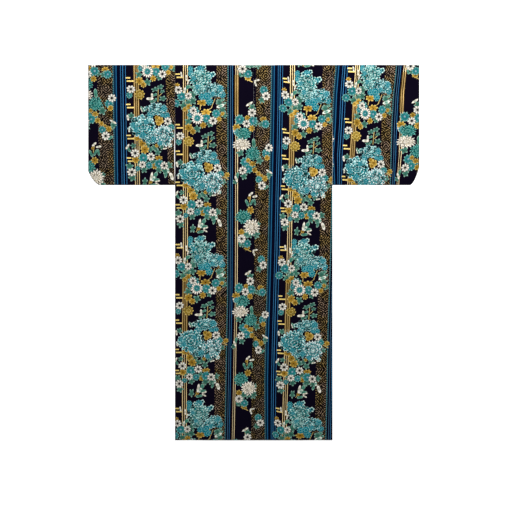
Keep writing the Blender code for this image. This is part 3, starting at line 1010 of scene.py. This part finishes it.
def motif_group():
    tree = new_group("printed motif", {"Place": "Vector", "Seed": "Float", "Wobble": "Vector"},
                     {"Colour": "Color", "Cover": "Float", "Gold": "Float"})
    node = partial(add, tree)
    place_in, seed, wobble = node("NodeGroupInput").outputs[:3]
    number = node("SeparateXYZ", place_in).outputs["Z"]
    which = node("Math MULTIPLY_ADD", number, 1 / KIND_SLOTS, 0.5 / KIND_SLOTS)

    def kind_ramp(values):
        """A step for each kind, after an empty one for no motif."""
        steps = [(KIND_NUMBERS[name] / KIND_SLOTS, values(kind)) for name, kind in KINDS.items()]
        return fill_ramp(node("ValToRGB", which), [(0.0, (0.0, 0.0, 0.0, 0.0))] + steps)

    form, petal, tip, heart = map(kind_ramp, RAMPS)
    petal_share, ring_share, scallop = node("SeparateColor", form).outputs[:3]
    petals = node("Math MULTIPLY", petal_share, MOST_PETALS / (2 * pi))
    rings = node("Math MULTIPLY", ring_share, MOST_RINGS)
    pointed = tip.outputs["Alpha"]

    def petal_edge(ring, aside):
        """How far out a ring's petals reach, away from their own middle lines."""
        curve = node("Mix FLOAT", pointed, None, node("Math MULTIPLY", aside, aside), aside)
        dip = node("Math MULTIPLY", curve, scallop)
        return node("Math SUBTRACT", node("Math ADD", ring, 1.0), dip)

    # Distance from the middle: round for flowers, square for bars
    spot = node("VectorMath MULTIPLY_ADD", place_in, (1.0, 1.0, 0.0), wobble)
    bar = node("Math GREATER_THAN", pointed, 0.95)
    square = node("Math MAXIMUM", *node("SeparateXYZ", node("VectorMath ABSOLUTE", place_in)).outputs[:2])
    away = node("Mix FLOAT", bar, None, node("VectorMath LENGTH", spot), square)
    right, up = node("SeparateXYZ", spot).outputs[:2]
    angle = node("Math ARCTAN2", up, right)
    # Which ring and which petal
    reach = node("Math MULTIPLY", away, rings)
    ring = node("Math FLOOR", reach)
    start = node("Math MULTIPLY_ADD", ring, 0.5, seed)
    turn = node("Math MULTIPLY_ADD", angle, petals, start)
    doubled = node("Math MULTIPLY_ADD", node("Math FRACT", turn), 2.0, -1.0)
    aside = node("Math ABSOLUTE", doubled)
    past = node("Math SUBTRACT", reach, petal_edge(ring, aside))
    next_ring = node("Math GREATER_THAN", past, 0.0)
    own_ring = node("Math ADD", ring, next_ring)
    own_aside = node("Math ABSOLUTE", node("Math SUBTRACT", next_ring, aside))
    depth = node("Math SUBTRACT", petal_edge(own_ring, own_aside), reach)
    cover = node("Math LESS_THAN", own_ring, node("Math SUBTRACT", rings, 0.5))
    # One random number for each petal
    petal_number = node("Math FLOOR", node("Math MULTIPLY_ADD", next_ring, 0.5, turn))
    chance = node("TexWhiteNoise 3D", node("CombineXYZ", own_ring, petal_number, seed))
    # The outer petals of a full flower are not all of one length
    outer_ring = node("Math GREATER_THAN", own_ring, node("Math SUBTRACT", rings, 1.5))
    full = node("Math GREATER_THAN", rings, FULL_FLOWER_RINGS)
    cut = outer_ring
    for factor in (full, chance, PETAL_CUT):
        cut = node("Math MULTIPLY", cut, factor)
    depth = node("Math SUBTRACT", depth, cut)
    cover = node("Math MULTIPLY", cover, node("Math GREATER_THAN", depth, 0.0))
    # Petals darken towards their foot, at their sides and under the ring inside
    foot = node("MapRange SMOOTHSTEP", depth, 0.15, 1.1, 1.15, 0.62)
    spread = node("Mix FLOAT", full, None, 0.5, 1.1)
    tone = node("Math MULTIPLY", node("Math SUBTRACT", chance, 0.46), spread)
    tone = node("Math ADD", tone, foot)
    # A full flower is paler towards its top, where the light falls on it in the drawing
    crowded = node("Math GREATER_THAN", rings, CROWDED_FLOWER_RINGS)
    height = node("Math MULTIPLY", up, crowded)
    tone = node("Math MULTIPLY_ADD", height, 0.14, tone)
    paleness = node("Math MULTIPLY_ADD", height, 0.24, chance)
    # Here and there a petal lies in the dark between its neighbours
    lit_share = node("MapRange", chance, 0.08, 0.2, 0.2, 1.0)
    lit_share = node("Mix FLOAT", crowded, None, 1.0, lit_share)
    tone = node("Math MULTIPLY", tone, lit_share)
    # Dark lines between the petals, under the ring inside and about the whole flower
    gap = node("Mix FLOAT", full, None, 0.5, 0.92)
    side_line = node("MapRange SMOOTHSTEP", own_aside, 0.52, 0.9, 0.0, gap)
    under = node("MapRange SMOOTHSTEP", past, 0.0, 0.4, 0.96, 0.0)
    under = node("Math MULTIPLY", under, next_ring)
    flower = node("Math GREATER_THAN", petal_share, LEAF_PETALS / MOST_PETALS)
    side_line = node("Math MULTIPLY", side_line, flower)
    shade = node("Math MAXIMUM", side_line, under)
    outline = node("MapRange SMOOTHSTEP", depth, 0.04, 0.12, 0.9, 0.0)
    shade = node("Math MAXIMUM", shade, node("Math MULTIPLY", outline, outer_ring))
    shade = node("Math MULTIPLY", shade, node("Math SUBTRACT", 1.0, bar))
    # Bright tips, and here and there a petal that is pale all over
    rim = node("Math DIVIDE", depth, petal.outputs["Alpha"])
    rim = node("MapRange SMOOTHSTEP", rim, 0.65, 1.1, 1.0, 0.0)
    middle = node("MapRange SMOOTHSTEP", own_aside, 0.35, 0.95, 1.0, 0.1)
    bright_tip = node("MapRange SMOOTHSTEP", paleness, 0.1, 0.65, 0.4, 1.35)
    for factor in (middle, lit_share, node("Mix FLOAT", crowded, None, 1.0, bright_tip)):
        rim = node("Math MULTIPLY", rim, factor)
    pale = node("MapRange SMOOTHSTEP", paleness, 0.86, 1.1, 0.0, 0.45)
    rim = node("Math MAXIMUM", rim, pale)
    body = node("VectorMath SCALE", {0: petal, "Scale": tone})
    drawn = node("Mix RGBA", {0: rim, 6: body, 7: tip})
    lit = node("VectorMath SCALE", {0: drawn, "Scale": node("Math SUBTRACT", 1.0, shade)})
    in_heart = node("Math LESS_THAN", away, form.outputs["Alpha"])
    colour = node("Mix RGBA", {0: in_heart, 6: lit, 7: heart})
    gold = node("Math MULTIPLY", cover, heart.outputs["Alpha"])
    node("NodeGroupOutput", {"Colour": colour, "Cover": cover, "Gold": gold})
    return tree


motif_tree = motif_group()
print("nodes that draw a motif:", len(motif_tree.nodes))

# %% [markdown]
# ## The stripes
# Stripes need only the chart's column. Two ramps of flat steps hold their colours, and the alpha says
# what fills them: plain dye, dots, gaps that are filled in some rows, or the fine wave lines of the
# brown bands. The lines are nested arcs about scattered points, 2.25 squares or 9 mm apart, and specks
# break them up. The real ones are finer, and at this size they show only as a grain.

# %% Stripes, by their first column
NAVY, UMBER, GOLD_LINE, CREAM_LINE = "#080414", "#190604", "#ffe2a6", "#ffe6b4"
DEEP_BLUE, INK_BLUE, LINE_BLUE, DOTTED_TEAL = "#02041a", "#031430", "#3478a8", "#467f88"
PLAIN, SHINY, LINE_GAP, DOTS, WAVES = 1.0, 0.9, 0.8, 0.6, 0.4
STRIPES = (
    (0.0, NAVY, PLAIN),
    (6.6, UMBER, LINE_GAP),
    (7.28, GOLD_LINE, SHINY),
    (7.82, UMBER, LINE_GAP),
    (9.28, GOLD_LINE, SHINY),
    (9.82, UMBER, LINE_GAP),
    (11.28, GOLD_LINE, SHINY),
    (11.82, UMBER, LINE_GAP),
    (12.6, NAVY, PLAIN),
    (40.5, "#7e6a58", WAVES),
    (51.5, DOTTED_TEAL, DOTS),
    (52.6, DEEP_BLUE, PLAIN),
    (54.5, "#4a7494", PLAIN),
    (54.95, DEEP_BLUE, PLAIN),
    (56.4, LINE_BLUE, PLAIN),
    (56.8, DEEP_BLUE, PLAIN),
    (58.4, UMBER, LINE_GAP),
    (59.6, CREAM_LINE, SHINY),
    (60.05, UMBER, LINE_GAP),
    (61.65, CREAM_LINE, SHINY),
    (62.1, UMBER, LINE_GAP),
    (62.9, NAVY, PLAIN),
    (80.0, "#706050", WAVES),
    (95.1, DOTTED_TEAL, DOTS),
    (96.0, "#0a2c42", PLAIN),
    (97.1, INK_BLUE, PLAIN),
    (98.0, "#1f6088", PLAIN),
    (98.7, DEEP_BLUE, PLAIN),
    (102.1, LINE_BLUE, PLAIN),
    (102.6, DEEP_BLUE, PLAIN),
    (104.0, LINE_BLUE, PLAIN),
    (104.5, DEEP_BLUE, PLAIN),
    (106.5, LINE_BLUE, PLAIN),
)
print("stripes in one repeat:", len(STRIPES))

# %% Stripe group
HALF_REPEAT = REPEAT_WIDTH / 2
WAVE_CELL = 11.0
WAVE_SPACING = 2.25
SPECK_STEP = 1.4
GOLD_IN_WAVES = 0.7
# Rows in which the narrow lines and the gaps between them turn one even golden brown: at the first set
# of lines in each repeat, and at the second set only once, near the shoulder
FILLED_ROWS = ((43.0, 98.0), (10.0, 50.0))
FILL_SHARE = 0.8
# How close a fill has to be to its number to count as that fill
FILL_SLACK = 0.04


def stripe_stops(first, last):
    """The stripes between two columns, with the one that crosses the first."""
    before = [stripe for stripe in STRIPES if stripe[0] <= first][-1]
    inside = [stripe for stripe in STRIPES if first < stripe[0] < last]
    stops = []
    for column, colour, fill in [before] + inside:
        stops.append((max(0.0, (column - first) / (last - first)), (*linear(colour), fill)))
    return stops


def stripe_group():
    tree = new_group("printed stripes", {"Chart": "Vector"}, {"Colour": "Color", "Gold": "Float"})
    node = partial(add, tree)
    given = node("NodeGroupInput")
    across, down = node("SeparateXYZ", given).outputs[:2]
    column = node("Math WRAP", across, REPEAT_WIDTH, 0.0)
    share = node("Math DIVIDE", column, HALF_REPEAT)
    second = node("Math GREATER_THAN", share, 1.0)
    share = node("Math SUBTRACT", share, second)
    first_half, second_half = (
        fill_ramp(node("ValToRGB", share), stripe_stops(start, start + HALF_REPEAT))
        for start in (0.0, HALF_REPEAT))
    colour = node("Mix RGBA", {0: second, 6: first_half, 7: second_half})
    fill = node("Mix FLOAT", second, None, first_half.outputs["Alpha"], second_half.outputs["Alpha"])
    # Wave lines: rings about points, nearly round
    cells = {"Vector": given, "Scale": 1 / WAVE_CELL, "Exponent": 1.3, "Randomness": 0.8}
    cell = node("TexVoronoi 2D", cells, distance="MINKOWSKI")
    phase = node("Math MULTIPLY", cell, 2 * pi * WAVE_CELL / WAVE_SPACING)
    line = node("MapRange SMOOTHSTEP", node("Math SINE", phase), 0.1, 0.95, 0.0, 1.2)
    speck = node("TexNoise 2D", {"Vector": given, "Scale": 1 / SPECK_STEP, "Detail": 0.0})
    broken = node("MapRange SMOOTHSTEP", speck, 0.35, 0.65, 0.15, 1.6)
    line = node("Math MULTIPLY", line, broken)
    # The lines are more golden in random patches: partly uneven wear of the gold, partly a painted sheen
    patch = node("TexNoise 2D", {"Vector": given, "Scale": 0.06, "Detail": 2.0})
    wear_and_sheen = node("MapRange SMOOTHSTEP", patch, 0.4, 0.62, 0.0, 1.0)
    golden = node("Mix RGBA", {0: wear_and_sheen, 6: colour, 7: opaque("#7c673e")})
    waves = node("VectorMath SCALE", {0: golden, "Scale": line})
    # Dots: the stripe is broken every second square
    beat = node("Math SINE", node("Math MULTIPLY", down, pi))
    dot = node("MapRange SMOOTHSTEP", beat, -0.3, 0.3, 0.3, 1.0)
    dots = node("VectorMath SCALE", {0: colour, "Scale": dot})
    # Filled rows: the gaps between the narrow lines turn golden brown there, and the lines turn darker
    row = node("Math WRAP", down, REPEAT_LENGTH, 0.0)
    row = node("Mix FLOAT", second, None, row, down)
    fill_ends = [node("Mix FLOAT", second, None, *ends) for ends in zip(*FILLED_ROWS)]
    fill_row = node("MapRange", row, *fill_ends, -1.0, 1.0, clamp=False)
    in_filled_rows = node("Math LESS_THAN", node("Math ABSOLUTE", fill_row), 1.0)
    is_gap = node("Math COMPARE", fill, LINE_GAP, FILL_SLACK)
    is_shiny = node("Math COMPARE", fill, SHINY, FILL_SLACK)
    filled_gap = node("Math MULTIPLY", node("Math MULTIPLY", in_filled_rows, is_gap), FILL_SHARE)
    dimmed = node("Math MULTIPLY", in_filled_rows, is_shiny)
    colour = node("Mix RGBA", {0: filled_gap, 6: colour, 7: opaque("#523e10")})
    colour = node("Mix RGBA", {0: dimmed, 6: colour, 7: opaque("#d2b074")})
    is_wave = node("Math LESS_THAN", fill, (DOTS + WAVES) / 2)
    is_plain = node("Math GREATER_THAN", fill, (DOTS + LINE_GAP) / 2)
    patterned = node("Mix RGBA", {0: is_wave, 6: dots, 7: waves})
    mixed = node("Mix RGBA", {0: is_plain, 6: patterned, 7: colour})
    # Gold pigment is in the narrow lines and, thinly, in the wave lines, and the filled gaps are made
    # metallic too
    in_waves = node("Math MULTIPLY", is_wave, GOLD_IN_WAVES)
    gold = node("Math MAXIMUM", node("Math MAXIMUM", is_shiny, filled_gap), in_waves)
    node("NodeGroupOutput", {"Colour": mixed, "Gold": gold})
    return tree


stripe_tree = stripe_group()
print("nodes that draw the stripes:", len(stripe_tree.nodes))

# %% [markdown]
# ## Printed cotton
# The cloth is plain-woven cotton of about 20 threads to the centimetre, dyed navy and printed, so the
# pattern shows on both faces. It is matt: a rough surface with a faint sheen of fibre ends. The gold
# is a pigment with metal in it, so it is a little smoother and partly metallic.

# %% Cotton
THREAD_STEP = 0.0005
DRAWN_THREADS = 4
COTTON_ROUGHNESS = 0.86
GOLD_ROUGHNESS = 0.48
GOLD_METAL = 0.45


def printed_cotton(name):
    """Plain-woven cotton, dyed and printed: matt, with a soft tooth from its threads."""
    material = bpy.data.materials.new(name)
    material.use_nodes = True
    tree = material.node_tree
    tree.nodes.clear()
    node = partial(add, tree)
    chart = node("Attribute", attribute_name="chart").outputs["Vector"]
    colour, gold = node("Group", node_tree=stripe_tree).outputs[:2]
    tree.links.new(chart, colour.node.inputs["Chart"])
    hand = node("TexNoise 2D", {"Vector": chart, "Scale": 0.33, "Detail": 1.0}).outputs["Color"]
    wobble = node("VectorMath MULTIPLY_ADD", hand, (2 * WOBBLE, 2 * WOBBLE, 0.0), (-WOBBLE, -WOBBLE, 0.0))
    for number in reversed(range(PRINT_LAYERS)):
        spot = node("Attribute", attribute_name="print_%d" % number)
        motif = node("Group", node_tree=motif_tree)
        for key, value in enumerate((spot.outputs["Color"], spot.outputs["Alpha"], wobble.outputs[0])):
            tree.links.new(value, motif.inputs[key])
        drawn, cover, gilt = motif.outputs
        colour = node("Mix RGBA", {0: cover, 6: colour, 7: drawn})
        gold = node("Mix FLOAT", cover, None, gold, gilt)
    # Threads, drawn four times as coarse as the real 0.5 mm so that they show
    per_square = 2 * pi * SQUARE / (THREAD_STEP * DRAWN_THREADS)
    threads = node("VectorMath SCALE", {0: chart, "Scale": per_square})
    weave = node("Math MULTIPLY", *node("SeparateXYZ", node("VectorMath SINE", threads)).outputs[:2])
    slubs = node("TexNoise 2D", {"Vector": chart, "Scale": 3.0, "Detail": 2.0})
    tooth = node("Math MULTIPLY_ADD", weave, 0.5, slubs)
    bump = node("Bump", {"Strength": 0.35, "Distance": 0.0004, "Height": tooth})
    # Dye takes a little unevenly, so each thread has its own tone
    tone = node("MapRange", slubs, 0.3, 0.7, 0.9, 1.1)
    dyed = node("VectorMath SCALE", {0: colour, "Scale": tone})
    rough = node("MapRange", gold, 0.0, 1.0, COTTON_ROUGHNESS, GOLD_ROUGHNESS)
    metal = node("Math MULTIPLY", gold, GOLD_METAL)
    node("OutputMaterial", node("BsdfPrincipled", {
        "Base Color": dyed, "Roughness": rough, "Metallic": metal, "Normal": bump,
        "Specular IOR Level": 0.03, "Sheen Weight": 0.01, "Sheen Roughness": 0.5,
    }))
    return material


for kind, pieces in (("body", bodies), ("okumi", okumi), ("collar", [collar]), ("sleeve", sleeves)):
    cotton = printed_cotton("printed cotton of the " + kind)
    for piece in pieces:
        piece.data.materials.append(cotton)
    print(cotton.name + ":", len(cotton.node_tree.nodes), "nodes, on", len(pieces), "sheets")

# %% [markdown]
# ## What each piece is
# Every sheet rides on the one body and takes the place of its solid. The body length is a straight
# strip with the neck cut away, and the overlap panel tapers to its tip.

# %% Riding, and hiding the solids
for side, body, panel, sleeve in zip(SIDES, bodies, okumi, sleeves):
    for piece, kind in ((body, "body"), (panel, "okumi"), (sleeve, "sleeve")):
        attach(piece, "root")
        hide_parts("%s_%s" % (kind, side.name))
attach(collar, "root")
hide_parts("collar")
print("sheets:", ", ".join(piece.name for piece in bodies + okumi + sleeves + [collar]))

# %% [markdown]
# ## Floor, light and camera
# The garment lies on a white floor and is seen from straight above, from far enough that nothing leans.
# A pale sky gives even light, and one broad lamp beyond the right shoulder makes the top a little
# brighter than the hem.

# %% Floor
FLOOR_SIZE = 60.0
FLOOR_DROP = 0.0002
PAPER_GLOW = 0.60
bpy.ops.mesh.primitive_plane_add(size=FLOOR_SIZE, location=(0.0, 0.0, -FLOOR_DROP))
floor = bpy.context.object
floor.name = "studio_floor"
paper = bpy.data.materials.new("white paper sweep")
paper.use_nodes = True
for name, value in {
    "Base Color": opaque("#fbfbfb"), "Roughness": 0.95, "Specular IOR Level": 0.0,
    "Emission Color": opaque("#ffffff"), "Emission Strength": PAPER_GLOW,
}.items():
    paper.node_tree.nodes["Principled BSDF"].inputs[name].default_value = value
floor.data.materials.append(paper)
print("floor:", FLOOR_SIZE, "m wide")

# %% Light
SKY_STRENGTH = 0.36
world = bpy.data.worlds.new("pale studio")
world.use_nodes = True
sky = world.node_tree.nodes["Background"]
sky.inputs["Color"].default_value = (0.97, 0.985, 1.0, 1.0)
sky.inputs["Strength"].default_value = SKY_STRENGTH
bpy.context.scene.world = world

LAMP_SIZE = 1.4
LAMP_WATTS = 90.0
LAMP_SPOT = Vector((0.45, 2.2, 2.1))
LAMP_AIM = Vector((0.05, 0.4, 0.0))
lamp_data = bpy.data.lights.new("broad lamp", "AREA")
lamp_data.shape = "DISK"
lamp_data.size = LAMP_SIZE
lamp_data.energy = LAMP_WATTS
lamp = new_object("broad lamp", lamp_data)
lamp.location = LAMP_SPOT
lamp.rotation_euler = (LAMP_AIM - LAMP_SPOT).to_track_quat("-Z", "Y").to_euler()
print("lamps:", [light.name for light in bpy.data.lights])

# %% Camera
VIEW_WIDTH = 2.080
LENS_MM = 100.0
SENSOR_MM = 36.0
# The garment lies a little off the picture's middle
CAMERA_ASIDE = (0.0051, -0.0102)
camera_data = bpy.data.cameras.new("camera")
camera_data.lens = LENS_MM
camera_data.sensor_width = SENSOR_MM
camera = new_object("camera", camera_data)
camera.location = (*CAMERA_ASIDE, VIEW_WIDTH * LENS_MM / SENSOR_MM)
bpy.context.scene.camera = camera
bpy.context.scene.view_settings.view_transform = "Standard"
bpy.context.scene.view_settings.look = "None"
print("camera above the floor, in metres:", round(camera.location.z, 2))
